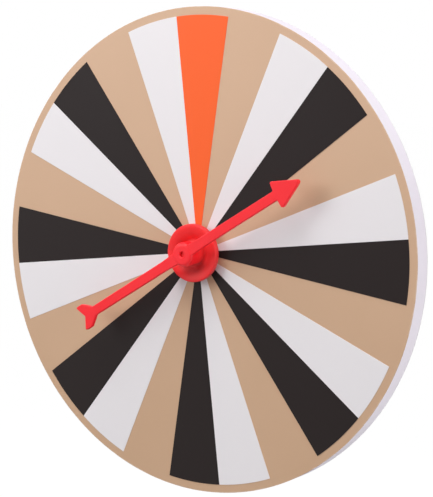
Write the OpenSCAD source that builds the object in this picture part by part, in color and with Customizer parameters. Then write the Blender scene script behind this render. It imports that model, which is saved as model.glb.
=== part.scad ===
// Carnival game wheel: a round foam board with coloured fields and an arrow that spins on a hub.
// The board stands upright: its face looks along -Y and its flat back lies on the plane y = 0.
// The arrow spins about the Y axis, which passes through the centre of the board.

/* [Board] */
// Diameter of the board
board_d = 304.8; // [260:0.1:420]
// Thickness of the white foam core
core_t = 12; // [10:0.1:20]
// Thickness of the tan sheet on the face
face_t = 0.5; // [0.3:0.05:1.5]
// Thickness of the white sheet on the back
back_t = 0.5; // [0.3:0.05:1.5]
// Width of the tan border outside the coloured fields
border_w = 5.15; // [2:0.05:20]

/* [Coloured fields] */
// Number of groups of one dark, one tan and one white field
group_count = 8; // [6:1:10]
// Thickness of the coloured film
film_t = 0.2; // [0.1:0.05:0.5]
// How far outside the stem's hole the coloured fields start
field_start = 1.8; // [0.5:0.1:3]

/* [Hub] */
// Diameter of the hub's saucer across its rim
hub_d = 36.4; // [36:0.1:50]
// Height of the rim's front above the coloured fields
hub_h = 7.5; // [6.5:0.1:9]
// Thickness of the rim
rim_t = 3.8; // [2.5:0.1:4.5]
// Diameter of the hub's foot on the board
foot_d = 26; // [25:0.1:30]
// Rounding of the rim's edges
lip_r = 0.8; // [0.2:0.05:1]
// Depth of the dish below the rim's front
dish_depth = 4; // [2:0.1:4.3]
// Distance from the post to the foot of the dish's slope
floor_w = 1.8; // [1.6:0.1:2]
// Run of the slope between the floor of the dish and the rim
dish_run = 4; // [3.8:0.1:4.6]
// Rounding where the rim rolls over into the slope
bell_r = 10; // [2:0.1:10.6]
// Rounding between the slope and the floor of the dish
dish_r = 2.6; // [0.5:0.1:3]
// Diameter of the post that carries the arrow
post_d = 14.4; // [10:0.1:14.8]
// Fillet between the post and the floor of the dish
post_fillet = 0.5; // [0.2:0.05:0.7]
// Diameter of the stem that passes through the board
stem_d = 16; // [14:0.1:19]
// Gap all round between the stem and its hole in the board
stem_clearance = 0.2; // [0.1:0.05:0.5]

/* [Rear nut] */
// Diameter of the round nut that clamps the hub from behind
nut_d = 34; // [30:0.1:50]
// Thickness of the nut
nut_t = 5; // [4:0.1:7]
// Thickness of the nut's closed back wall
nut_wall = 1.2; // [0.8:0.1:1.6]
// Gap all round between the nut and its pocket in the board
nut_clearance = 0.3; // [0.1:0.05:0.6]
// Gap all round between the nut's bore and the stem
thread_clearance = 0.1; // [0.05:0.01:0.2]
// Rounding of the nut's rear edge
nut_edge_r = 0.6; // [0.2:0.05:1]
// Diameter of the two spanner holes in the nut
spanner_d = 3; // [2:0.1:4]
// Distance between the two spanner holes
spanner_pitch = 25; // [23:0.1:26]
// Depth of the spanner holes
spanner_depth = 2.5; // [1:0.1:3]

/* [Axle pin] */
// Diameter of the pin's head
pin_head_d = 9; // [7:0.1:11]
// Thickness of the pin's head
pin_head_t = 2; // [1:0.1:3]
// Gap all round between the pin's head and its pocket in the stem
pin_head_clearance = 0.1; // [0.05:0.01:0.3]
// Diameter of the pin's shank inside the hub
shank_d = 5; // [4.4:0.1:6]
// Gap all round between the shank and the hub's bore
shank_clearance = 0.03; // [0.01:0.01:0.05]
// Diameter of the journal that the arrow turns on
journal_d = 4; // [3.6:0.1:4.3]
// Gap all round between the journal and the arrow's bore
running_clearance = 0.05; // [0.02:0.01:0.1]
// Play along the axis at each face that turns past another
axial_gap = 0.2; // [0.1:0.05:0.4]
// Bevel on the nose of the pin
nose_bevel = 0.5; // [0.2:0.05:0.8]
// Distance from the arrow's rear face to the middle of its snap rib
rib_from_rear = 3; // [1.5:0.1:4]
// Width of the snap rib along the axis
rib_w = 0.8; // [0.4:0.05:1.2]
// Height of the snap rib above the journal's surface line
rib_h = 0.25; // [0.1:0.01:0.35]
// Gap between the snap rib and the floor of the pin's groove
rib_clearance = 0.15; // [0.1:0.01:0.3]

/* [Arrow] */
// Height of the arrow's front above the coloured fields
arrow_h = 18; // [17:0.1:26]
// Direction that the arrow points at rest, turned up from +X
rest_angle = 31.6; // [0:0.1:360]
// Thickness of the arrow's flat bar
arrow_t = 3; // [2:0.1:4]
// Rounding of the bar's edges
edge_r = 0.6; // [0.2:0.05:0.65]
// Distance from the spin axis to the rounded tip
tip_reach = 95.6; // [80:0.1:120]
// Rounding of the tip
tip_r = 1.9; // [0.7:0.05:2]
// Length of the head, from the sharp point that its sides meet at to its barbs
head_len = 20.3; // [12:0.1:26]
// Width of the head across its barbs
head_w = 18.3; // [12:0.1:24]
// Rounding of the barbs
barb_r = 1.3; // [0.7:0.05:1.5]
// How far the back of the head slopes towards the axis
barb_sweep = 0.5; // [0:0.1:4]
// Width of the shaft beside the boss
shaft_root_w = 6.2; // [5.6:0.1:8]
// Width of the shaft at its two ends
shaft_end_w = 6; // [4:0.1:6.2]
// Distance from the spin axis to the ends of the tail's prongs
tail_reach = 92.8; // [80:0.1:115]
// Width of the tail
tail_w = 16.2; // [11:0.1:22]
// Length of the prongs' straight sides
prong_len = 5.6; // [2.5:0.1:8]
// Length of the flare between shaft and prongs
flare_len = 7; // [4:0.1:14]
// Depth of the notch between the prongs
notch_depth = 4.3; // [1:0.1:6]
// Rounding of the prongs' corners
prong_r = 0.9; // [0.7:0.05:1.5]
// Rounding of the corners between the flare and the prongs
flare_r = 1.5; // [0.7:0.05:2.5]
// Diameter of the boss at the arrow's middle
boss_d = 15; // [12:0.1:16]
// Length of the boss along the spin axis
boss_l = 8; // [7:0.1:9]
// Rounding of the boss's front edge
boss_r = 2.2; // [0.3:0.05:2.4]
// How far the boss stands proud of the bar
boss_proud = 0.3; // [0.1:0.05:1]
// Thickness of the boss's front wall
boss_wall = 1.6; // [1.4:0.1:2.6]
// Diameter of the small hole in the boss's front
hole_d = 3.4; // [1.5:0.1:3.6]
// Width of the bar where it leaves the boss
web_w = 8; // [7:0.1:13]
// Distance from the spin axis to where the bar has narrowed to the shaft
web_len = 16; // [10:0.1:20]

/* [Hidden] */
$fn = 96;
// Straight pieces in each rounded corner of an outline
arc_steps = 8;
// Straight steps in each rounded edge of the bar
edge_steps = 3;
// Overrun that carries a cut past a face
past = 1;

tan_print = [0.84, 0.69, 0.57];
white_film = [0.93, 0.92, 0.94];
black_film = [0.19, 0.16, 0.16];
orange_film = [1, 0.41, 0.23];
red_plastic = [0.95, 0.16, 0.19];
foam_white = [0.95, 0.93, 0.97];

board_r = board_d / 2;
hub_r = hub_d / 2;
post_r = post_d / 2;
stem_r = stem_d / 2;
nut_r = nut_d / 2;
boss_outer_r = boss_d / 2;
stem_hole_r = stem_r + stem_clearance;
nut_pocket_r = nut_r + nut_clearance;
journal_r = journal_d / 2;

// Depths in front of the board's back plane
face_z = back_t + core_t + face_t;
film_z = face_z + film_t;
pin_head_z = nut_wall;
shank_z = pin_head_z + pin_head_t;
stem_end_z = pin_head_z + axial_gap;
front_z = film_z + arrow_h;
boss_z = front_z - boss_l;
post_z = boss_z - axial_gap;
bore_end_z = front_z - boss_wall;
nose_z = bore_end_z - axial_gap;
rib_z = boss_z + rib_from_rear;
bar_top_z = front_z - boss_proud;

// Coloured fields
field_angle = 360 / (3 * group_count);
field_out_r = board_r - border_w;
field_in_r = stem_hole_r + field_start;

// Snap rib of the arrow and groove of the pin
rib_r = journal_r - rib_h;
groove_r = rib_r - rib_clearance;
groove_w = rib_w + 2 * axial_gap;

// Arrow outline
head_half_angle = atan(head_w / 2 / head_len);
point_u = tip_reach + tip_r * (1 / sin(head_half_angle) - 1);
barb_u = point_u - head_len;
neck_u = barb_u - barb_sweep;
prong_u = tail_reach - prong_len;
flare_u = prong_u - flare_len;
notch_u = tail_reach - notch_depth;

function unit(v) = v / norm(v);
function turned(v, a) = [v.x * cos(a) - v.y * sin(a), v.x * sin(a) + v.y * cos(a)];
function flat(corner) = [corner.x, corner.y];

// Points of the arc of radius r that rounds corner p between its neighbours a and b
function corner_arc(a, p, b, r) =
    r == 0 ? [p] :
    let (
        to_a = unit(a - p),
        to_b = unit(b - p),
        half = acos(to_a * to_b) / 2,
        centre = p + unit(to_a + to_b) * r / sin(half),
        start = p + to_a * r / tan(half) - centre,
        sweep = (180 - 2 * half) * sign(cross(to_b, to_a))
    )
    [for (i = [0 : arc_steps]) centre + turned(start, sweep * i / arc_steps)];

// Closed outline from corners of the form [x, y, rounding]
function rounded(corners) =
    let (n = len(corners))
    [
        for (i = [0 : n - 1])
            each corner_arc(
                flat(corners[(i + n - 1) % n]),
                flat(corners[i]),
                flat(corners[(i + 1) % n]),
                corners[i].z
            )
    ];

// Outline moved inwards by d, for an outline that runs counter-clockwise
function inset(points, d) =
    let (n = len(points))
    [
        for (i = [0 : n - 1])
            let (
                before = unit(points[i] - points[(i + n - 1) % n]),
                after = unit(points[(i + 1) % n] - points[i]),
                normal_a = [-before.y, before.x],
                normal_b = [-after.y, after.x]
            )
            points[i] + d * (normal_a + normal_b) / (1 + normal_a * normal_b)
    ];

// Turns depth in front of the back plane into -Y, and the drawing's up into +Z
module upright() {
    rotate([90, 0, 0]) children();
}

module disc(r, from_z, to_z) {
    translate([0, 0, from_z]) cylinder(r = r, h = to_z - from_z);
}

// Plate of the bar's thickness with a convex outline, whose top and bottom edges are rounded
module eased_plate(corners) {
    outline = rounded(corners);
    hull()
        for (i = [0 : edge_steps])
            let (
                lift = edge_r * (1 - cos(90 * i / edge_steps)),
                ring = inset(outline, edge_r * (1 - sin(90 * i / edge_steps)))
            )
            translate([0, 0, lift]) linear_extrude(arrow_t - 2 * lift) polygon(ring);
}

// One coloured field, counted clockwise from the one at the top of the board
module field(position) {
    upright()
        rotate([0, 0, 90 - field_angle * (position + 0.5)])
        rotate_extrude(angle = field_angle)
        translate([field_in_r, face_z])
        square([field_out_r - field_in_r, film_t]);
}

module foam_core() {
    color(foam_white) upright() difference() {
        disc(board_r, back_t, back_t + core_t);
        disc(stem_hole_r, 0, face_z);
        disc(nut_pocket_r, 0, nut_t);
    }
}

module back_sheet() {
    color(foam_white) upright() difference() {
        disc(board_r, 0, back_t);
        disc(nut_pocket_r, -past, back_t + past);
    }
}

module face_sheet() {
    color(tan_print) upright() difference() {
        disc(board_r, face_z - face_t, face_z);
        disc(stem_hole_r, 0, face_z + past);
    }
}

module white_segment(i) {
    color(white_film) field(3 * i - 1);
}

module black_segment(i) {
    color(black_film) field(3 * i);
}

module orange_segment() {
    color(orange_film) field(0);
}

// Bell-mouthed saucer with the arrow's post in front and a hollow stem behind
module hub_base() {
    lip_z = film_z + hub_h;
    dish_z = lip_z - dish_depth;
    floor_r = post_r + floor_w;
    profile = rounded([
        [0, film_z, 0],
        [foot_d / 2, film_z, 0],
        [hub_r, lip_z - rim_t, lip_r],
        [hub_r, lip_z, lip_r],
        [floor_r + dish_run, lip_z, bell_r],
        [floor_r, dish_z, dish_r],
        [post_r, dish_z, post_fillet],
        [post_r, post_z, lip_r],
        [0, post_z, 0]
    ]);
    color(red_plastic) upright() difference() {
        union() {
            rotate_extrude() polygon(profile);
            disc(stem_r, stem_end_z, film_z);
        }
        disc(shank_d / 2 + shank_clearance, 0, post_z + past);
        disc(pin_head_d / 2 + pin_head_clearance, 0, shank_z);
    }
}

// Stepped pin: head in the stem, shank in the hub, grooved journal in the arrow
module axle_pin() {
    profile = [
        [0, pin_head_z],
        [pin_head_d / 2, pin_head_z],
        [pin_head_d / 2, shank_z],
        [shank_d / 2, shank_z],
        [shank_d / 2, post_z],
        [journal_r, post_z],
        [journal_r, rib_z - groove_w / 2],
        [groove_r, rib_z - groove_w / 2],
        [groove_r, rib_z + groove_w / 2],
        [journal_r, rib_z + groove_w / 2],
        [journal_r, nose_z - nose_bevel],
        [journal_r - nose_bevel, nose_z],
        [0, nose_z]
    ];
    color(red_plastic) upright() rotate_extrude() polygon(profile);
}

// Closed round nut on the stem, let in flush with the back of the board
module rear_nut() {
    profile = rounded([
        [0, 0, 0],
        [nut_r, 0, nut_edge_r],
        [nut_r, nut_t, 0],
        [0, nut_t, 0]
    ]);
    color(red_plastic) upright() difference() {
        rotate_extrude() polygon(profile);
        disc(stem_r + thread_clearance, pin_head_z, nut_t + past);
        for (side = [-1, 1])
            translate([side * spanner_pitch / 2, 0, 0])
                disc(spanner_d / 2, -past, spanner_depth);
    }
}

// One-piece arrow that snaps on the axle pin
module arrow() {
    head = [
        [point_u, 0, tip_r],
        [barb_u, head_w / 2, barb_r],
        [neck_u, shaft_end_w / 2, 0],
        [neck_u, -shaft_end_w / 2, 0],
        [barb_u, -head_w / 2, barb_r]
    ];
    shaft = [
        [barb_u, shaft_end_w / 2, 0],
        [0, shaft_root_w / 2, 0],
        [-prong_u, shaft_end_w / 2, 0],
        [-prong_u, -shaft_end_w / 2, 0],
        [0, -shaft_root_w / 2, 0],
        [barb_u, -shaft_end_w / 2, 0]
    ];
    web = [
        [web_len, shaft_end_w / 2, 0],
        [0, web_w / 2, 0],
        [-web_len, shaft_end_w / 2, 0],
        [-web_len, -shaft_end_w / 2, 0],
        [0, -web_w / 2, 0],
        [web_len, -shaft_end_w / 2, 0]
    ];
    prong = [
        [-flare_u, shaft_end_w / 2, 0],
        [-prong_u, tail_w / 2, flare_r],
        [-tail_reach, tail_w / 2, prong_r],
        [-notch_u + notch_depth * shaft_end_w / tail_w, -shaft_end_w / 2, 0],
        [-flare_u, -shaft_end_w / 2, 0]
    ];
    boss_profile = rounded([
        [0, boss_z, 0],
        [boss_outer_r, boss_z, 0],
        [boss_outer_r, front_z, boss_r],
        [0, front_z, 0]
    ]);
    bore_r = journal_r + running_clearance;
    bore_profile = [
        [0, boss_z - past],
        [bore_r, boss_z - past],
        [bore_r, rib_z - rib_w / 2],
        [rib_r, rib_z - rib_w / 2],
        [rib_r, rib_z + rib_w / 2],
        [bore_r, rib_z + rib_w / 2],
        [bore_r, bore_end_z],
        [hole_d / 2, bore_end_z],
        [hole_d / 2, front_z + past],
        [0, front_z + past]
    ];
    color(red_plastic) upright() rotate([0, 0, rest_angle]) difference() {
        union() {
            translate([0, 0, bar_top_z - arrow_t]) {
                eased_plate(head);
                eased_plate(shaft);
                eased_plate(web);
                eased_plate(prong);
                mirror([0, 1, 0]) eased_plate(prong);
            }
            rotate_extrude() polygon(boss_profile);
        }
        rotate_extrude() polygon(bore_profile);
    }
}

foam_core();
back_sheet();
face_sheet();
for (i = [1 : group_count])
    white_segment(i);
for (i = [1 : group_count - 1])
    black_segment(i);
orange_segment();
hub_base();
axle_pin();
rear_nut();
arrow();
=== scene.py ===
# %% [markdown]
# # A carnival game wheel
# A round foam board stands upright with its face to the front. Coloured fields run out from its
# centre like the slices of a pie, and a red plastic arrow spins in front of them on a dished hub.
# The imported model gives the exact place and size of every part. This lesson models the parts again
# with soft edges, gives them their finishes, sets up a small photo studio and places the camera
# where the photographer stood. Blender counts in metres, so MM stands for one millimetre.

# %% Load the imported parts
import math

import bmesh
import bpy
from mathutils import Euler, Matrix, Vector


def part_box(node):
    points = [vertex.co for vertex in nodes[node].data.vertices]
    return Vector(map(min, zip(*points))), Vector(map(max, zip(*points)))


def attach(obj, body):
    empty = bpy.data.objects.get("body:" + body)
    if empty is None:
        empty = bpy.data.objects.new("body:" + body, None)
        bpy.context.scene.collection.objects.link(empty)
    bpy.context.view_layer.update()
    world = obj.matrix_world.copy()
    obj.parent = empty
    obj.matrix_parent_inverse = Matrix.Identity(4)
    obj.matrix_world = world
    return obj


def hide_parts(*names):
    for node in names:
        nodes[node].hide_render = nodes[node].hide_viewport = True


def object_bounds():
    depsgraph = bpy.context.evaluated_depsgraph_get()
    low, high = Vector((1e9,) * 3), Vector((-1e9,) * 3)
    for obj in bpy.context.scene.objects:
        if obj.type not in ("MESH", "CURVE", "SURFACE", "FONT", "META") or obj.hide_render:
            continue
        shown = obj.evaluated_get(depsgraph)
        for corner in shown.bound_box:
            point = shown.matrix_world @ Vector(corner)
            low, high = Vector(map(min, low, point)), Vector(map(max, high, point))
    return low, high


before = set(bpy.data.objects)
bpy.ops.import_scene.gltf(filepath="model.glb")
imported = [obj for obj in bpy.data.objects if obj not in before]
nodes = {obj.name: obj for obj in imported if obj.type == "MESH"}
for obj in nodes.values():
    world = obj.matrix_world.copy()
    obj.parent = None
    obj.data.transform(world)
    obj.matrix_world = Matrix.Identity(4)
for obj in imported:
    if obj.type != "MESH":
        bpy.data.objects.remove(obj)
cad_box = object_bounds()
MM = 0.001
print("parts:", len(nodes), "box:", [tuple(round(v, 4) for v in corner) for corner in cad_box])

# %% [markdown]
# The camera comes first, because every later choice is judged through it. It could be set by eye,
# but the edges of the fields end in 24 evenly spaced points on a circle, and where those points lie
# in the photograph gives the camera's place, turn and lens. The lens is a long one, so the board
# looks almost free of perspective. A camera looks along its own -Z, so a tilt of 90 degrees would
# look level, and a little less looks down.

# %% Camera
CAMERA_PLACE = Vector((0.5640, -0.8452, 0.1207))
CAMERA_TURN = Euler((math.radians(83.293), math.radians(-1.034), math.radians(33.596)))
LENS_MM = 117.15
SENSOR_MM = 36.0

camera_data = bpy.data.cameras.new("camera")
camera_data.lens = LENS_MM
camera_data.sensor_width = SENSOR_MM
camera = bpy.data.objects.new("camera", camera_data)
camera.location = CAMERA_PLACE
camera.rotation_euler = CAMERA_TURN
bpy.context.scene.collection.objects.link(camera)
bpy.context.scene.camera = camera
print("camera at", tuple(round(v, 4) for v in CAMERA_PLACE))

# %% [markdown]
# Shaders are graphs of nodes. Typing every link by hand hides the idea, so two small classes do it.
# Socket wraps one output and lets Python's + - * write the Math nodes. Graph makes any other node
# from its type, its settings and what goes into its sockets, and has short names for the few that
# every finish here uses. The Mix node has sockets of the same name for each kind of value, so those
# for colours are found by number.

# %% A short way to write shader graphs
MIX_COLOUR_ONE = 6
MIX_COLOUR_TWO = 7
MIX_COLOUR_OUT = 2


class Socket:
    """One output of a shader node. Arithmetic on it adds Math nodes."""

    def __init__(self, graph, output):
        self.graph = graph
        self.output = output

    def math(self, operation, one, two):
        return self.graph.node("ShaderNodeMath", {"operation": operation}, {0: one, 1: two})

    def __add__(self, other):
        return self.math("ADD", self, other)

    def __rsub__(self, other):
        return self.math("SUBTRACT", other, self)

    def __mul__(self, other):
        return self.math("MULTIPLY", self, other)

    __radd__ = __add__

    def or_more(self, other):
        """The larger of two values."""
        return self.math("MAXIMUM", self, other)

    def above(self, low, high):
        """0 below low, 1 above high, and a smooth rise between."""
        inputs = {"Value": self, "From Min": low, "From Max": high}
        return self.graph.node("ShaderNodeMapRange", {"interpolation_type": "SMOOTHSTEP"}, inputs)


class Graph:
    """The node tree of one material or of the world."""

    def __init__(self, tree):
        self.tree = tree
        self.tree.nodes.clear()

    def node(self, kind, settings=None, inputs=None, output=0):
        """Add a node, set it up and give back one of its outputs."""
        made = self.tree.nodes.new(kind)
        for name, value in (settings or {}).items():
            setattr(made, name, value)
        for name, value in (inputs or {}).items():
            socket = made.inputs[name]
            if isinstance(value, Socket):
                self.tree.links.new(value.output, socket)
            else:
                socket.default_value = value
        return Socket(self, made.outputs[output]) if made.outputs else None

    def place(self):
        """Where a point lies on the object, in metres."""
        return self.node("ShaderNodeTexCoord", output="Object")

    def part_of(self, vector, axis):
        """One coordinate of a place or a direction."""
        return self.node("ShaderNodeSeparateXYZ", None, {0: vector}, axis)

    def scaled(self, vector, factors):
        """A vector with each coordinate times its own factor."""
        return self.node("ShaderNodeVectorMath", {"operation": "MULTIPLY"}, {0: vector, 1: factors})

    def length(self, vector):
        return self.node("ShaderNodeVectorMath", {"operation": "LENGTH"}, {0: vector}, "Value")

    def noise(self, vector, scale, detail, roughness=0.5):
        """Soft random patches, smaller for a larger scale."""
        inputs = {"Vector": vector, "Scale": scale, "Detail": detail, "Roughness": roughness}
        return self.node("ShaderNodeTexNoise", None, inputs)

    def cells(self, vector, scale):
        """Distance to the nearest of many scattered points."""
        return self.node("ShaderNodeTexVoronoi", None, {"Vector": vector, "Scale": scale})

    def blend(self, factor, one, two):
        """Colour one where factor is 0 and colour two where it is 1."""
        inputs = {0: factor, MIX_COLOUR_ONE: one, MIX_COLOUR_TWO: two}
        return self.node("ShaderNodeMix", {"data_type": "RGBA"}, inputs, MIX_COLOUR_OUT)

    def bump(self, height, strength, depth):
        """A normal that leans as the slopes of a fine relief would."""
        inputs = {"Height": height, "Strength": strength, "Distance": depth}
        return self.node("ShaderNodeBump", None, inputs)

    def mix(self, factor, one, two):
        """Shader one where factor is 0 and shader two where it is 1."""
        return self.node("ShaderNodeMixShader", None, {0: factor, 1: one, 2: two})

    def finish(self, shader):
        self.node("ShaderNodeOutputMaterial", None, {"Surface": shader})


def new_material(name):
    """An empty material and the graph to fill it with."""
    material = bpy.data.materials.new(name)
    material.use_nodes = True
    return material, Graph(material.node_tree)


def rgb(red, green, blue):
    """A colour in the form that sockets take, with full alpha."""
    return (red, green, blue, 1.0)


print("shader helpers ready")

# %% [markdown]
# The red parts are moulded in a bright plastic that light sinks into a little. Plain glossy paint
# would look hard, so a touch of subsurface scattering softens the edges. The colour drifts where
# the plastic flowed into the mould, handling leaves faint paler scuffs, and a very fine grain from
# the mould's surface breaks up the reflections. Inside a dish the red is darkened with painted
# shade, most of all in its lower half, so the function that makes the plastic can be told where a
# dish lies. The factor beside each mark says how strongly it shows.

# %% Red moulded plastic
MOULD_GRAIN = 0.04 * MM
SCATTER_DEPTH = 1.5 * MM
SCATTER_SPREAD = (1.0, 0.12, 0.1)
SCATTER_SHARE = 0.2
SCUFF_RED = rgb(0.98, 0.06, 0.066)
# Painted shade: the darker red that a dish is blended towards, most of all low down.
PAINTED_SHADE_RED = rgb(0.6, 0.065, 0.07)
SHADE_ALL_OVER = 0.25
SHADE_LOW_DOWN = 0.75


def painted_dish_shade(g, at, colour, lip, floor, reach):
    """Painted shade that darkens a dish, most of all in its lower half."""
    deep = g.part_of(at, "Y").above(-lip, -(lip + floor) / 2)
    low = 1.0 - g.part_of(at, "Z").above(-reach, 0.0)
    patchy = g.noise(at, scale=320.0, detail=4.0) * 0.4 + 0.8
    return g.blend(deep * (low * SHADE_LOW_DOWN + SHADE_ALL_OVER) * patchy, colour, PAINTED_SHADE_RED)


def make_red_plastic(name, pigment, drift, rough, gloss, dish=None):
    """Plastic in two reds. A dish, given by its lip, its floor and its reach from the axle, gets
    painted shade.
    """
    material, g = new_material(name)
    at = g.place()
    flow = g.noise(at, scale=45.0, detail=4.0)
    grain = g.noise(at, scale=2600.0, detail=2.0)
    colour = g.blend(flow.above(0.3, 0.75), rgb(*pigment), rgb(*drift))
    streaks = g.noise(g.scaled(at, (1.0, 1.0, 6.0)), scale=160.0, detail=5.0, roughness=0.65)
    scuffs = streaks.above(0.62, 0.78)
    colour = g.blend(scuffs * 0.3, colour, SCUFF_RED)
    # Painted shade in the dish, darkest in its lower half.
    if dish:
        colour = painted_dish_shade(g, at, colour, *dish)
    inputs = {
        "Base Color": colour,
        "Roughness": rough + flow * 0.08 + scuffs * 0.12,
        "Normal": g.bump(grain, 0.18, MOULD_GRAIN),
        "Specular IOR Level": gloss,
        "Subsurface Weight": SCATTER_SHARE,
        "Subsurface Radius": SCATTER_SPREAD,
        "Subsurface Scale": SCATTER_DEPTH,
    }
    g.finish(g.node("ShaderNodeBsdfPrincipled", None, inputs))
    return material


arrow_red = make_red_plastic(
    "arrow_red", pigment=(0.99, 0.016, 0.027), drift=(0.96, 0.013, 0.023), rough=0.4, gloss=0.36)
print("made", arrow_red.name)

# %% [markdown]
# The face is printed paper under a satin film. Print is never one flat colour: the paper's fibres
# show as a fine grain, a few specks lie under the film, each colour shifts to a second tone towards
# the bottom of the board and in soft patches, and the rim is rubbed paler by hands. A picture of the
# print could be wrapped round the disc, but noise that reads the place on the object never shows
# pixels. One function makes all the printed colours, so they share the grain and differ only in ink
# and gloss.

# %% Printed and satin-laminated colours
RUBBED_RIM = 0.9 * MM
PAPER_GRAIN = 0.04 * MM
BARE_PAPER = rgb(0.86, 0.82, 0.8)
board_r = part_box("foam_core")[1].x


def make_print(name, ink, bottom_tone, speck, gloss):
    """A print whose colour goes from ink at the top of the board to a second tone at the bottom."""
    material, g = new_material(name)
    at = g.place()
    height = g.part_of(at, "Z").above(-board_r, board_r)
    # The colour shifts to the second tone towards the bottom of the board and in soft patches.
    lower_tone = (1.0 - height) * 0.8 + g.noise(at, scale=14.0, detail=3.0).above(0.3, 0.7) * 0.2
    fibre = g.noise(g.scaled(at, (1.0, 1.0, 2.5)), scale=520.0, detail=4.0, roughness=0.6)
    specks = 1.0 - g.cells(at, scale=70.0).above(0.012, 0.022)
    handled = g.noise(at, scale=9.0, detail=4.0, roughness=0.6).above(0.45, 0.7)
    worn = g.noise(at, scale=120.0, detail=4.0, roughness=0.7).above(0.4, 0.65)
    from_axle = g.length(g.scaled(at, (1.0, 0.0, 1.0)))
    rub = from_axle.above(board_r - RUBBED_RIM, board_r) * worn
    colour = g.blend(lower_tone, rgb(*ink), rgb(*bottom_tone))
    colour = g.blend(specks * 0.5 + fibre * 0.07, colour, rgb(*speck))
    inputs = {
        "Base Color": g.blend(rub * 0.3, colour, BARE_PAPER),
        "Roughness": 0.42 + fibre * 0.06 + handled * 0.07,
        "Normal": g.bump(fibre, 0.14, PAPER_GRAIN),
        "Specular IOR Level": gloss,
    }
    g.finish(g.node("ShaderNodeBsdfPrincipled", None, inputs))
    return material


tan_print = make_print(
    "tan_print", ink=(0.66, 0.434, 0.291), bottom_tone=(0.578, 0.374, 0.238),
    speck=(0.55, 0.35, 0.22), gloss=0.3)
white_print = make_print(
    "white_print", ink=(0.845, 0.81, 0.83), bottom_tone=(0.83, 0.8, 0.82),
    speck=(0.7, 0.67, 0.68), gloss=0.3)
black_print = make_print(
    "black_print", ink=(0.0145, 0.009, 0.009), bottom_tone=(0.0165, 0.011, 0.0105),
    speck=(0.05, 0.045, 0.045), gloss=0.13)
orange_print = make_print(
    "orange_print", ink=(0.98, 0.127, 0.019), bottom_tone=(0.95, 0.118, 0.018),
    speck=(0.85, 0.2, 0.08), gloss=0.22)
print("made four printed colours")

# %% [markdown]
# The board's edge is cut foam. A sharp blade leaves tiny closed cells and faint strokes that run
# across the thickness, so the strokes come from a noise that is stretched along Y. The back is
# plain white card, whose fibres and faint soiling show as soft patches.

# %% White foam and card
FOAM_CELL_DEPTH = 0.12 * MM
FOAM_WHITE = rgb(0.885, 0.828, 0.905)
FOAM_SOILED = rgb(0.855, 0.795, 0.87)
FOAM_SHADED = rgb(0.78, 0.75, 0.82)
CARD_GRAIN = 0.08 * MM
CARD_WHITE = rgb(0.84, 0.83, 0.85)
CARD_SOILED = rgb(0.8, 0.785, 0.8)
CARD_FIBRE = rgb(0.68, 0.66, 0.67)


def make_foam():
    material, g = new_material("cut_foam")
    at = g.place()
    cell = g.cells(at, scale=850.0)
    strokes = g.noise(g.scaled(at, (1.0, 0.06, 1.0)), scale=420.0, detail=3.0)
    soil = g.noise(at, scale=16.0, detail=4.0).above(0.35, 0.75)
    colour = g.blend(soil, FOAM_WHITE, FOAM_SOILED)
    shade = cell.above(0.2, 0.8) * 0.1 + strokes * 0.08
    inputs = {
        "Base Color": g.blend(shade, colour, FOAM_SHADED),
        "Roughness": 0.72 + strokes * 0.12,
        "Normal": g.bump(cell + strokes, 0.22, FOAM_CELL_DEPTH),
        "Specular IOR Level": 0.3,
    }
    g.finish(g.node("ShaderNodeBsdfPrincipled", None, inputs))
    return material


def make_card():
    material, g = new_material("white_card")
    at = g.place()
    fibre = g.noise(g.scaled(at, (1.0, 1.0, 3.0)), scale=480.0, detail=5.0, roughness=0.62)
    soil = g.noise(at, scale=11.0, detail=4.0).above(0.4, 0.75)
    colour = g.blend(soil, CARD_WHITE, CARD_SOILED)
    inputs = {
        "Base Color": g.blend(fibre.above(0.45, 0.8) * 0.15, colour, CARD_FIBRE),
        "Roughness": 0.6 + fibre * 0.15,
        "Normal": g.bump(fibre, 0.16, CARD_GRAIN),
        "Specular IOR Level": 0.3,
    }
    g.finish(g.node("ShaderNodeBsdfPrincipled", None, inputs))
    return material


cut_foam = make_foam()
white_card = make_card()
print("made", cut_foam.name, "and", white_card.name)

# %% [markdown]
# Almost everything on a game wheel is round, so one helper does most of the modelling: it draws
# half a cross-section, rounds the corners that are soft on the real part and spins it about the
# axle. The bevel operator rounds a corner by cutting back along its two sides. How far it has to
# cut for a wanted radius follows from the angle between those sides. A larger rounding is cut in
# more steps.

# %% Helpers that draw, round and spin a cross-section
AXLE = Vector((0.0, 1.0, 0.0))
FULL_TURN = 2 * math.pi
TURN_STEPS = 192
FEWEST_STEPS = 6
MERGE_DISTANCE = 0.001 * MM


def round_corners(shape, corners, radii):
    """Round the corners of a flat face, each to its own radius."""
    for corner, radius in zip(corners, radii):
        if radius:
            sides = [edge.other_vert(corner).co - corner.co for edge in corner.link_edges]
            cut_back = radius / math.tan(sides[0].angle(sides[1]) / 2)
            steps = FEWEST_STEPS + round(radius / MM)
            bmesh.ops.bevel(shape, geom=[corner], offset=cut_back, offset_type="OFFSET",
                            affect="VERTICES", segments=steps, profile=0.5, material=-1)


def section(corners):
    """A flat face from (distance from the axle, depth in front of the back, rounding)."""
    shape = bmesh.new()
    points = [shape.verts.new((radius, -depth, 0.0)) for radius, depth, rounding in corners]
    shape.faces.new(points)
    round_corners(shape, points, [rounding for radius, depth, rounding in corners])
    return shape


def tidy(shape):
    """Close seams and poles, and turn all faces outwards."""
    bmesh.ops.remove_doubles(shape, verts=shape.verts, dist=MERGE_DISTANCE)
    bmesh.ops.recalc_face_normals(shape, faces=shape.faces)
    return shape


def spun(corners, steps=TURN_STEPS):
    """A ring or a solid of revolution from half its cross-section."""
    shape = section(corners)
    bmesh.ops.delete(shape, geom=shape.faces[:], context="FACES_ONLY")
    profile = shape.verts[:] + shape.edges[:]
    bmesh.ops.spin(shape, geom=profile, axis=AXLE, angle=FULL_TURN, steps=steps, use_merge=True)
    return tidy(shape)


print("a full turn has", TURN_STEPS, "steps")

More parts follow.
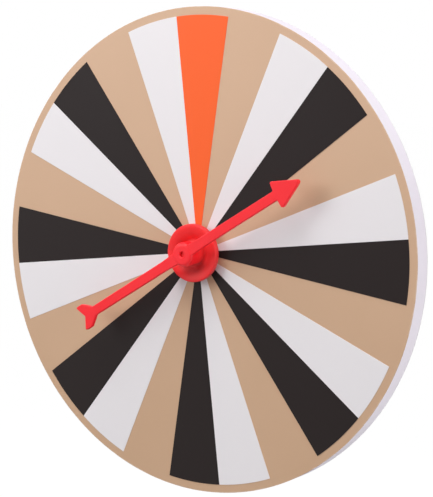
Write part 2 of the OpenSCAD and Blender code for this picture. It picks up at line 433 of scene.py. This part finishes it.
# %% [markdown]
# Every modelled shape becomes an object in the same way. Faces are shaded smooth, edges sharper
# than a set angle stay crisp, and a weighted-normal modifier keeps flat faces flat right up to
# their rounded edges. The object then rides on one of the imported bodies, so that it moves with it,
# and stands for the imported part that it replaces.

# %% A helper that turns a shape into a piece of the wheel
SOFT_ANGLE = math.radians(38)


def make_piece(name, shape, material, body, node):
    """Make an object of a shape, hang it on a body and hide the imported part that it replaces."""
    mesh = bpy.data.meshes.new(name)
    shape.to_mesh(mesh)
    shape.free()
    mesh.shade_smooth()
    mesh.set_sharp_from_angle(angle=SOFT_ANGLE)
    mesh.materials.append(material)
    piece = bpy.data.objects.new(name, mesh)
    bpy.context.scene.collection.objects.link(piece)
    flats = piece.modifiers.new("keep_flats_flat", "WEIGHTED_NORMAL")
    flats.keep_sharp = True
    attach(piece, body)
    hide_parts(node)
    print(name, "faces:", len(mesh.polygons))


print("edges sharper than", round(math.degrees(SOFT_ANGLE)), "degrees stay crisp")

# %% [markdown]
# The board is a sandwich: a foam disc between a printed sheet and a plain white card. It could be
# one disc with three colours, but three pieces leave the fine line along the edge where the blade
# pressed the foam in beside each sheet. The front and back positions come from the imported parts.

# %% The board's three layers
CUT_ROUND = 0.35 * MM
SHEET_ROUND = 0.15 * MM
STEM_HOLE_R = 8.2 * MM
NUT_POCKET_R = 17.3 * MM
core_back = -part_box("foam_core")[1].y
core_front = -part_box("foam_core")[0].y
face_front = -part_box("face_sheet")[0].y
pocket_floor = -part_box("rear_nut")[0].y

foam_section = [
    (STEM_HOLE_R, core_front, 0.0),
    (board_r, core_front, CUT_ROUND),
    (board_r, core_back, CUT_ROUND),
    (NUT_POCKET_R, core_back, 0.0),
    (NUT_POCKET_R, pocket_floor, 0.0),
    (STEM_HOLE_R, pocket_floor, 0.0),
]
face_section = [
    (STEM_HOLE_R, face_front, 0.0),
    (board_r, face_front, SHEET_ROUND),
    (board_r, core_front, SHEET_ROUND),
    (STEM_HOLE_R, core_front, 0.0),
]
back_section = [
    (NUT_POCKET_R, core_back, 0.0),
    (board_r, core_back, SHEET_ROUND),
    (board_r, 0.0, SHEET_ROUND),
    (NUT_POCKET_R, 0.0, 0.0),
]
make_piece("foam_disc", spun(foam_section), cut_foam, "board", "foam_core")
make_piece("printed_face", spun(face_section), tan_print, "board", "face_sheet")
make_piece("back_card", spun(back_section), white_card, "board", "back_sheet")

# %% [markdown]
# The coloured fields are thin films on the tan sheet, one for each 15 degrees apart from every
# third, where the tan shows. Each starts as a narrow upright rectangle that is spun through its 15
# degrees, like a curtain on a round rail, and its front edge gets a tiny bevel that catches the
# light.

# %% The shape of a coloured field
FIELD_TURN = math.radians(15)
FIELD_STEPS = 16
FILM_BEVEL = 0.05 * MM
FILM_BEVEL_STEPS = 2
CREASE_ANGLE = 1.0
FACING_FRONT = -0.9
film_front = -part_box("orange_segment")[0].y
field_out_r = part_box("orange_segment")[1].z
field_in_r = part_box("orange_segment")[0].z / math.cos(FIELD_TURN / 2)
field_section = [
    (field_in_r, face_front, 0.0),
    (field_out_r, face_front, 0.0),
    (field_out_r, film_front, 0.0),
    (field_in_r, film_front, 0.0),
]


def is_crease(edge):
    """True where two faces meet at about a right angle."""
    return edge.calc_face_angle() > CREASE_ANGLE


def field_shape(position):
    """One field, counted clockwise from the one at the top."""
    shape = section(field_section)
    start = FIELD_TURN * (position - 0.5) - math.pi / 2
    bmesh.ops.rotate(shape, matrix=Matrix.Rotation(start, 3, AXLE), verts=shape.verts)
    sheet = shape.verts[:] + shape.edges[:] + shape.faces[:]
    bmesh.ops.spin(shape, geom=sheet, axis=AXLE, angle=FIELD_TURN, steps=FIELD_STEPS)
    tidy(shape)
    front = [face for face in shape.faces if face.normal.y < FACING_FRONT]
    border = {edge for face in front for edge in face.edges if is_crease(edge)}
    bmesh.ops.bevel(shape, geom=list(border), offset=FILM_BEVEL, offset_type="OFFSET",
                    affect="EDGES", segments=FILM_BEVEL_STEPS, profile=0.5, material=-1)
    return shape


print("fields run from", round(field_in_r, 4), "to", round(field_out_r, 4), "m")

# %% [markdown]
# The fields come in groups of three that go round the board: a dark one, a bare tan one and a white
# one. The dark field of the first group, at the top, is the orange one.

# %% The coloured fields
GROUPS = 8
FIELDS_IN_GROUP = 3
make_piece("orange_field", field_shape(0), orange_print, "board", "orange_segment")
for i in range(1, GROUPS):
    dark = field_shape(FIELDS_IN_GROUP * i)
    make_piece(f"black_field_{i}", dark, black_print, "board", f"black_segment_{i}")
for i in range(1, GROUPS + 1):
    pale = field_shape(FIELDS_IN_GROUP * i - 1)
    make_piece(f"white_field_{i}", pale, white_print, "board", f"white_segment_{i}")

# %% [markdown]
# The hub is one moulding: a saucer whose rim rolls over into the dish like the mouth of a bell, a
# post in its middle for the arrow, and a hollow stem that goes through the board to the nut at the
# back. A lathe could turn it, so a spun cross-section is the natural way. The roundings carry the
# highlights, so each has its own size. The hub's red is made here, where the dish is known.

# %% The dished hub
HUB_H = 7.5 * MM
RIM_T = 3.8 * MM
FOOT_R = 13.0 * MM
LIP_ROUND = 0.8 * MM
DISH_DEPTH = 4.0 * MM
DISH_RUN = 4.0 * MM
BELL_ROUND = 10.0 * MM
DISH_ROUND = 2.6 * MM
FLOOR_W = 1.8 * MM
POST_R = 7.2 * MM
POST_FILLET = 0.5 * MM
STEM_R = 8.0 * MM
STEM_END = 1.4 * MM
PIN_POCKET_R = 4.6 * MM
PIN_POCKET_END = 3.2 * MM
SHANK_BORE_R = 2.53 * MM

hub_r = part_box("hub_base")[1].x
post_front = -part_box("hub_base")[0].y
lip_front = film_front + HUB_H
dish_floor = lip_front - DISH_DEPTH
hub_section = [
    (SHANK_BORE_R, post_front, 0.0),
    (POST_R, post_front, LIP_ROUND),
    (POST_R, dish_floor, POST_FILLET),
    (POST_R + FLOOR_W, dish_floor, DISH_ROUND),
    (POST_R + FLOOR_W + DISH_RUN, lip_front, BELL_ROUND),
    (hub_r, lip_front, LIP_ROUND),
    (hub_r, lip_front - RIM_T, LIP_ROUND),
    (FOOT_R, film_front, 0.0),
    (STEM_R, film_front, 0.0),
    (STEM_R, STEM_END, 0.0),
    (PIN_POCKET_R, STEM_END, 0.0),
    (PIN_POCKET_R, PIN_POCKET_END, 0.0),
    (SHANK_BORE_R, PIN_POCKET_END, 0.0),
]
hub_red = make_red_plastic(
    "hub_red", pigment=(0.96, 0.034, 0.038), drift=(0.93, 0.03, 0.034), rough=0.48, gloss=0.32,
    dish=(lip_front, dish_floor, hub_r))
make_piece("dished_hub", spun(hub_section), hub_red, "board", "hub_base")

# %% [markdown]
# The arrow is one flat moulding with a round boss in its middle. Its outline is the same on both
# sides of the shaft, so half of it is written down as corners with their roundings, from the point
# to the notch of the tail, and the other half is the same list backwards with its sides swapped.
# Very large roundings near the boss make the bar swell gently towards it.

# %% The arrow's outline
HEAD_POINT = 98.32 * MM
HEAD_LEN = 20.3 * MM
HEAD_HALF_W = 9.15 * MM
BARB_SWEEP = 0.5 * MM
SHAFT_HALF_W = 3.0 * MM
ROOT_HALF_W = 3.08 * MM
WEB_HALF_W = 4.0 * MM
WEB_LEN = 16.0 * MM
TAIL_REACH = 92.8 * MM
TAIL_HALF_W = 8.1 * MM
PRONG_LEN = 5.6 * MM
FLARE_LEN = 7.0 * MM
NOTCH_DEPTH = 4.3 * MM
TIP_ROUND = 1.9 * MM
BARB_ROUND = 1.3 * MM
NECK_ROUND = 0.8 * MM
SWELL_ROUND = 60.0 * MM
WEB_ROUND = 8.0 * MM
FLARE_START_ROUND = 2.0 * MM
FLARE_END_ROUND = 1.5 * MM
PRONG_ROUND = 0.9 * MM
NOTCH_ROUND = 0.5 * MM

barb_at = HEAD_POINT - HEAD_LEN
shoulder_at = TAIL_REACH - PRONG_LEN
half_outline = [
    (HEAD_POINT, 0.0, TIP_ROUND),
    (barb_at, HEAD_HALF_W, BARB_ROUND),
    (barb_at - BARB_SWEEP, SHAFT_HALF_W, NECK_ROUND),
    (WEB_LEN, ROOT_HALF_W, SWELL_ROUND),
    (0.0, WEB_HALF_W, WEB_ROUND),
    (-WEB_LEN, ROOT_HALF_W, SWELL_ROUND),
    (FLARE_LEN - shoulder_at, SHAFT_HALF_W, FLARE_START_ROUND),
    (-shoulder_at, TAIL_HALF_W, FLARE_END_ROUND),
    (-TAIL_REACH, TAIL_HALF_W, PRONG_ROUND),
    (NOTCH_DEPTH - TAIL_REACH, 0.0, NOTCH_ROUND),
]
backwards = half_outline[::-1]
other_half = [(along, -across, rounding) for along, across, rounding in backwards if across]
arrow_outline = half_outline + other_half
print("outline corners:", len(arrow_outline))

# %% [markdown]
# The bar is that outline pushed out to its thickness. A bevel then rounds the edges of both faces,
# as a mould leaves them. The bar is drawn lying flat and turned once it is whole: a first turn
# points it where it rests in the photograph, and a quarter turn then stands it up in front of the
# board.

# %% The arrow's bar
REST_TURN = math.radians(31.6)
STAND_UP = Matrix.Rotation(math.pi / 2, 4, "X") @ Matrix.Rotation(REST_TURN, 4, "Z")
ARROW_T = 3.0 * MM
EDGE_ROUND = 0.6 * MM
EDGE_STEPS = 4
BOSS_PROUD = 0.3 * MM
arrow_front = -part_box("arrow")[0].y
bar_rear = arrow_front - BOSS_PROUD - ARROW_T


def bar_shape(outline):
    shape = bmesh.new()
    corners = [shape.verts.new((along, across, bar_rear)) for along, across, rounding in outline]
    shape.faces.new(corners)
    round_corners(shape, corners, [rounding for along, across, rounding in outline])
    pushed = bmesh.ops.extrude_face_region(shape, geom=shape.faces[:])
    front = [part for part in pushed["geom"] if isinstance(part, bmesh.types.BMVert)]
    bmesh.ops.translate(shape, vec=(0.0, 0.0, ARROW_T), verts=front)
    bmesh.ops.recalc_face_normals(shape, faces=shape.faces)
    rims = [edge for edge in shape.edges if is_crease(edge)]
    bmesh.ops.bevel(shape, geom=rims, offset=EDGE_ROUND, offset_type="OFFSET", affect="EDGES",
                    segments=EDGE_STEPS, profile=0.5, material=-1, clamp_overlap=True)
    bmesh.ops.transform(shape, matrix=STAND_UP, verts=shape.verts)
    return shape


bar = bar_shape(arrow_outline)
print("bar faces:", len(bar.faces))

# %% [markdown]
# The boss is a short round pillar with a broad soft edge, and its bore runs on the axle pin. A
# small hole with an eased mouth goes through its front wall. All of these are round, so they are
# spun. The Boolean modifier then joins the boss to the bar and cuts the bore out of both, which a
# moulding tool would do in one shot.

# %% The boss, the bore and the finished arrow
BOSS_R = 7.5 * MM
BOSS_L = 8.0 * MM
BOSS_ROUND = 2.2 * MM
BOSS_REAR_ROUND = 0.3 * MM
BOSS_WALL = 1.6 * MM
BOSS_STEPS = 96
BORE_R = 2.05 * MM
BORE_STEPS = 64
HOLE_R = 1.7 * MM
HOLE_EASE = 0.5 * MM
OVERRUN = 1.0 * MM
boss_rear = arrow_front - BOSS_L
bore_end = arrow_front - BOSS_WALL
boss_section = [
    (0.0, boss_rear, 0.0),
    (BOSS_R, boss_rear, BOSS_REAR_ROUND),
    (BOSS_R, arrow_front, BOSS_ROUND),
    (0.0, arrow_front, 0.0),
]
bore_section = [
    (0.0, boss_rear - OVERRUN, 0.0),
    (BORE_R, boss_rear - OVERRUN, 0.0),
    (BORE_R, bore_end, 0.0),
    (HOLE_R, bore_end, 0.0),
    (HOLE_R, arrow_front - HOLE_EASE, HOLE_EASE),
    (HOLE_R + HOLE_EASE + OVERRUN, arrow_front + OVERRUN, 0.0),
    (0.0, arrow_front + OVERRUN, 0.0),
]


def combined(first, second, operation):
    """Join or cut two closed shapes with the Boolean modifier."""
    holders = []
    for shape in (first, second):
        mesh = bpy.data.meshes.new("holder")
        shape.to_mesh(mesh)
        shape.free()
        holders.append(bpy.data.objects.new("holder", mesh))
        bpy.context.scene.collection.objects.link(holders[-1])
    modifier = holders[0].modifiers.new("combine", "BOOLEAN")
    modifier.operation = operation
    modifier.object = holders[1]
    result = bmesh.new()
    result.from_object(holders[0], bpy.context.evaluated_depsgraph_get())
    for holder in holders:
        bpy.data.meshes.remove(holder.data)
    return result


arrow_shape = combined(bar, spun(boss_section, BOSS_STEPS), "UNION")
arrow_shape = combined(arrow_shape, spun(bore_section, BORE_STEPS), "DIFFERENCE")
open_edges = [edge for edge in arrow_shape.edges if len(edge.link_faces) != 2]
print("open edges in the arrow:", len(open_edges))
make_piece("spinning_arrow", arrow_shape, arrow_red, "arrow", "arrow")

# %% [markdown]
# Two small parts show only at the back or deep in the boss's hole: the nut and the pin that the
# arrow turns on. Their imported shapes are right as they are, so they only get the arrow's red
# plastic.

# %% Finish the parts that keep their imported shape
for name in ("axle_pin", "rear_nut"):
    nodes[name].data.materials.clear()
    nodes[name].data.materials.append(arrow_red)
print("finished the pin and the nut")

# %% [markdown]
# The studio is plain: a pale floor well below the board and white all round. The camera, mirrors
# and glass see the surroundings as pure white, while the board is lit by a softer grey that is
# brighter from above, so that its own whites keep some shade. The Light Path node tells these rays
# apart.

# %% Floor and surroundings
FLOOR_DROP = 0.4
FLOOR_SIZE = 30.0
FLOOR_GLOW_SHARE = 0.92
FLOOR_GLOW = 1.075
FLOOR_GREY = rgb(0.35, 0.35, 0.35)
AMBIENT_TOP = 0.33
AMBIENT_BOTTOM = 0.2
AMBIENT_RISE = (-0.6, 0.9)
AMBIENT_TINT = rgb(1.0, 0.985, 1.0)
WHITE = rgb(1.0, 1.0, 1.0)


def seen_directly(g):
    """1 for rays from the camera and for those that a mirror or glass sends on."""
    camera_ray = g.node("ShaderNodeLightPath", output="Is Camera Ray")
    glossy_ray = g.node("ShaderNodeLightPath", output="Is Glossy Ray")
    transmitted_ray = g.node("ShaderNodeLightPath", output="Is Transmission Ray")
    return camera_ray.or_more(glossy_ray).or_more(transmitted_ray)


def make_floor_material():
    material, g = new_material("pale_floor")
    grey = g.node("ShaderNodeBsdfDiffuse", None, {"Color": FLOOR_GREY})
    glow = g.node("ShaderNodeEmission", None, {"Color": WHITE, "Strength": FLOOR_GLOW})
    g.finish(g.mix(seen_directly(g) * FLOOR_GLOW_SHARE, grey, glow))
    return material


def make_floor(height):
    shape = bmesh.new()
    bmesh.ops.create_grid(shape, x_segments=1, y_segments=1, size=FLOOR_SIZE / 2)
    bmesh.ops.translate(shape, vec=(0.0, 0.0, height), verts=shape.verts)
    mesh = bpy.data.meshes.new("floor")
    shape.to_mesh(mesh)
    shape.free()
    mesh.materials.append(make_floor_material())
    floor = bpy.data.objects.new("floor", mesh)
    bpy.context.scene.collection.objects.link(floor)


def make_surroundings():
    world = bpy.data.worlds.new("studio")
    world.use_nodes = True
    bpy.context.scene.world = world
    g = Graph(world.node_tree)
    direction = g.node("ShaderNodeTexCoord", output="Generated")
    rise = g.part_of(direction, "Z").above(*AMBIENT_RISE)
    ambient = AMBIENT_BOTTOM + rise * (AMBIENT_TOP - AMBIENT_BOTTOM)
    white = g.node("ShaderNodeBackground", None, {"Color": WHITE, "Strength": 1.0})
    soft = g.node("ShaderNodeBackground", None, {"Color": AMBIENT_TINT, "Strength": ambient})
    g.node("ShaderNodeOutputWorld", None, {"Surface": g.mix(seen_directly(g), soft, white)})


floor_height = cad_box[0].z - FLOOR_DROP
make_floor(floor_height)
make_surroundings()
print("floor at", round(floor_height, 3))

# %% [markdown]
# Where the arrow's shadow falls tells where the main lamp stood: on the left and a little above,
# and large, because the shadow's edge is soft. The lamp above brightens the top of the board and of
# its edge, the one on the right keeps the edge on that side from going grey, and one behind the
# board lights its back, which the others leave in the dark. The lamp on the right is the widest: a
# small one so near the plane of the face would show in the film as a glare. Each lamp is a disc,
# given by its place, its width and its power in watts.

# %% Lamps
BOARD_MIDDLE = Vector((0.0, 0.0, 0.0))
LAMPS = {
    "key_lamp": ((-1.05, -1.27, 0.55), 1.05, 13.0),
    "top_lamp": ((-0.05, -0.55, 1.25), 0.8, 12.7),
    "side_lamp": ((1.5, -0.15, 0.0), 1.5, 14.6),
    "back_lamp": ((-0.3, 1.7, 0.0), 0.6, 15.0),
}


def make_lamp(name, place, width, watts):
    data = bpy.data.lights.new(name, "AREA")
    data.shape = "DISK"
    data.size = width
    data.energy = watts
    lamp = bpy.data.objects.new(name, data)
    lamp.location = place
    lamp.rotation_euler = (BOARD_MIDDLE - lamp.location).to_track_quat("-Z", "Y").to_euler()
    bpy.context.scene.collection.objects.link(lamp)


for name, (place, width, watts) in LAMPS.items():
    make_lamp(name, place, width, watts)
bpy.context.scene.view_settings.view_transform = "Standard"
print("lamps on:", len(LAMPS))
